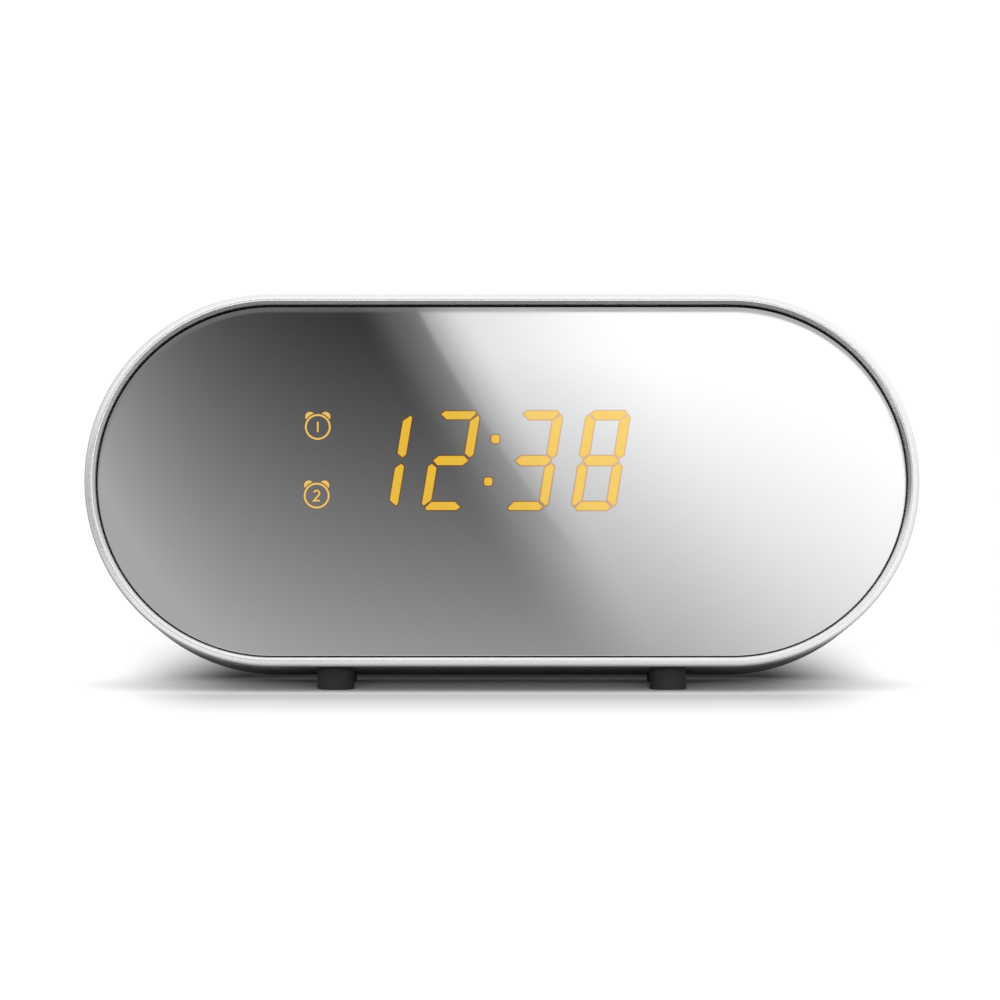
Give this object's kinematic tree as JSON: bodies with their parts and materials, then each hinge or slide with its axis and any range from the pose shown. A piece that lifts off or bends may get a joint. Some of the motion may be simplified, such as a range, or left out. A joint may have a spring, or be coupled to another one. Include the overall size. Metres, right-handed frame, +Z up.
{
  "type": "clock radio",
  "caption": "Table clock radio: upright body with round ends leaning back on low feet, mirror front with lit digits in a metallic rim, keys on top, speaker grille behind.",
  "frame": {"origin": "middle of the bottom of the overall box, on the surface the feet stand on", "axes": "+Z up, +X towards the right end as the user faces the mirror, +Y towards the back; the mirror faces -Y and leans back 7 degrees"},
  "size_m": [0.18, 0.0499, 0.0856],
  "materials": {
    "rim_metal": "satin silver lacquer on moulded plastic",
    "mirror": "half mirror, polished",
    "shell_plastic": "fine spark texture, charcoal",
    "key_plastic": "smooth satin, dark grey",
    "lit_amber": "lit segments",
    "black_plastic": "moulded black",
    "clear_guide": "polished light guide",
    "circuit_board": "green solder mask",
    "chip_black": "moulded package",
    "capacitor_sleeve": "shrink sleeve",
    "socket_plastic": "natural nylon",
    "flat_cable": "grey ribbon",
    "red_wire": "insulated wire",
    "plain_steel": "zinc plated",
    "magnet_ferrite": "sintered ferrite",
    "copper_coil": "enamelled copper",
    "cone_paper": "pressed paper, coated",
    "grille_cloth": "fine woven black",
    "foam": "black foam",
    "foot_rubber": "soft rubber",
    "cell_steel": "polished nickel"
  },
  "bodies": {
    "radio": {"front_bezel": "rim_metal", "mirror_lens": "mirror", "lens_tape": "foam", "front_housing": "shell_plastic", "rear_cabinet": "shell_plastic", "display_housing": "black_plastic", "display_segments": "lit_amber", "icon_light_guides": "clear_guide", "display_board": "circuit_board", "display_leds": "clear_guide", "main_board": "circuit_board", "tuner_shield": "plain_steel", "main_chips": "chip_black", "capacitors": "capacitor_sleeve", "voltage_regulator": "chip_black", "crystal": "plain_steel", "cable_sockets": "socket_plastic", "display_cable": "flat_cable", "key_cable": "flat_cable", "speaker_wires": "red_wire", "key_board": "circuit_board", "tact_switches": "black_plastic", "speaker_basket": "plain_steel", "speaker_cone": "cone_paper", "voice_coil": "copper_coil", "speaker_magnet": "magnet_ferrite", "speaker_yoke": "plain_steel", "speaker_gasket": "foam", "speaker_screws": "plain_steel", "grille_cloth": "grille_cloth", "dc_jack_body": "black_plastic", "dc_jack_pin": "plain_steel", "battery_holder": "black_plastic", "battery_contacts": "plain_steel", "coin_cell": "cell_steel", "antenna_gland": "foot_rubber", "case_screws": "plain_steel", "board_screws": "plain_steel", "front_foot_left": "foot_rubber", "front_foot_right": "foot_rubber", "rear_foot_left": "foot_rubber", "rear_foot_right": "foot_rubber"},
    "battery_door": {"battery_door": "shell_plastic"},
    "power_button": {"power_button": "key_plastic"},
    "set_button": {"set_button": "key_plastic"},
    "tune_down_button": {"tune_down_button": "key_plastic"},
    "tune_up_button": {"tune_up_button": "key_plastic"},
    "snooze_bar": {"snooze_bar": "key_plastic"},
    "alarm_1_button": {"alarm_1_button": "key_plastic"},
    "alarm_2_button": {"alarm_2_button": "key_plastic"},
    "volume_down_button": {"volume_down_button": "key_plastic"},
    "volume_up_button": {"volume_up_button": "key_plastic"}
  },
  "joints": [
    {"name": "power_press", "type": "slide", "parent": "radio", "child": "power_button", "axis": [0, -0.1219, -0.9925], "range_m": [0, 0.0007], "stiffness_N_per_m": 1500, "springref_m": -0.0006},
    {"name": "set_press", "type": "slide", "parent": "radio", "child": "set_button", "axis": [0, -0.1219, -0.9925], "range_m": [0, 0.0007], "stiffness_N_per_m": 1500, "springref_m": -0.0006},
    {"name": "tune_down_press", "type": "slide", "parent": "radio", "child": "tune_down_button", "axis": [0, -0.1219, -0.9925], "range_m": [0, 0.0007], "stiffness_N_per_m": 1500, "springref_m": -0.0006},
    {"name": "tune_up_press", "type": "slide", "parent": "radio", "child": "tune_up_button", "axis": [0, -0.1219, -0.9925], "range_m": [0, 0.0007], "stiffness_N_per_m": 1500, "springref_m": -0.0006},
    {"name": "snooze_press", "type": "slide", "parent": "radio", "child": "snooze_bar", "axis": [0, -0.1219, -0.9925], "range_m": [0, 0.0007], "stiffness_N_per_m": 1500, "springref_m": -0.0006},
    {"name": "alarm_1_press", "type": "slide", "parent": "radio", "child": "alarm_1_button", "axis": [0, -0.1219, -0.9925], "range_m": [0, 0.0007], "stiffness_N_per_m": 1500, "springref_m": -0.0006},
    {"name": "alarm_2_press", "type": "slide", "parent": "radio", "child": "alarm_2_button", "axis": [0, -0.1219, -0.9925], "range_m": [0, 0.0007], "stiffness_N_per_m": 1500, "springref_m": -0.0006},
    {"name": "volume_down_press", "type": "slide", "parent": "radio", "child": "volume_down_button", "axis": [0, -0.1219, -0.9925], "range_m": [0, 0.0007], "stiffness_N_per_m": 1500, "springref_m": -0.0006},
    {"name": "volume_up_press", "type": "slide", "parent": "radio", "child": "volume_up_button", "axis": [0, -0.1219, -0.9925], "range_m": [0, 0.0007], "stiffness_N_per_m": 1500, "springref_m": -0.0006},
    {"name": "battery_door_lift_off", "type": "slide", "parent": "radio", "child": "battery_door", "axis": [0, 0.9925, -0.1219], "range_m": [0, 0.02]}
  ]
}
